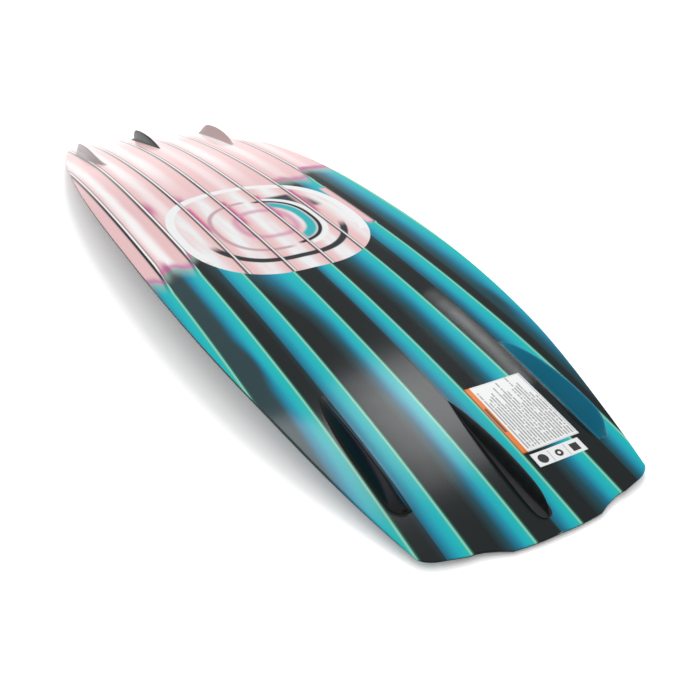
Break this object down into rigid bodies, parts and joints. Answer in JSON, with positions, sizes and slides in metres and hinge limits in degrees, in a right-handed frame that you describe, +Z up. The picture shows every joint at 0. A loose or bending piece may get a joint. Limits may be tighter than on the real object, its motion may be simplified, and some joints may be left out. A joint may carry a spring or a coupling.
{
  "type": "wakeboard",
  "caption": "Twin-tip wakeboard, base up, with rocker, moulded side fins, bolt-on centre fins and inserts for bindings.",
  "frame": {"origin": "centre of the board's footprint, on the surface that the deck's two tips rest on", "axes": "+X along the board to the nose (the end with the labels), +Y to the board's right as it lies, +Z up, out of the running base"},
  "size_m": [1.39, 0.435, 0.0731],
  "materials": {
    "printed_base": "clear-coated printed running base, teal, black and pink stripes",
    "printed_deck": "clear-coated printed deck, dark",
    "glass_laminate": "glass fibre in clear resin",
    "foam": "closed-cell foam",
    "stringer_wood": "straight-grained, unfinished",
    "fin_plastic": "moulded black, satin",
    "insert_brass": "turned",
    "screw_steel": "stainless",
    "sleeve_plastic": "moulded",
    "pad_plastic": "hard sheet, sawn",
    "label_vinyl": "white printed label"
  },
  "bodies": {
    "root": {"base_sheet": "printed_base", "base_laminate": "glass_laminate", "foam_core": "foam", "deck_laminate": "glass_laminate", "deck_sheet": "printed_deck", "left_stringer": "stringer_wood", "right_stringer": "stringer_wood", "tail_centre_fin": "fin_plastic", "tail_fin_nuts": "insert_brass", "tail_fin_sleeves": "sleeve_plastic", "tail_fin_washers": "screw_steel", "tail_fin_screws": "screw_steel", "tail_binding_inserts": "insert_brass", "tail_insert_pads": "pad_plastic", "tail_left_fin_filler": "glass_laminate", "tail_right_fin_filler": "glass_laminate", "nose_centre_fin": "fin_plastic", "nose_fin_nuts": "insert_brass", "nose_fin_sleeves": "sleeve_plastic", "nose_fin_washers": "screw_steel", "nose_fin_screws": "screw_steel", "nose_binding_inserts": "insert_brass", "nose_insert_pads": "pad_plastic", "nose_left_fin_filler": "glass_laminate", "nose_right_fin_filler": "glass_laminate", "care_label": "label_vinyl", "picture_label": "label_vinyl"}
  },
  "joints": []
}
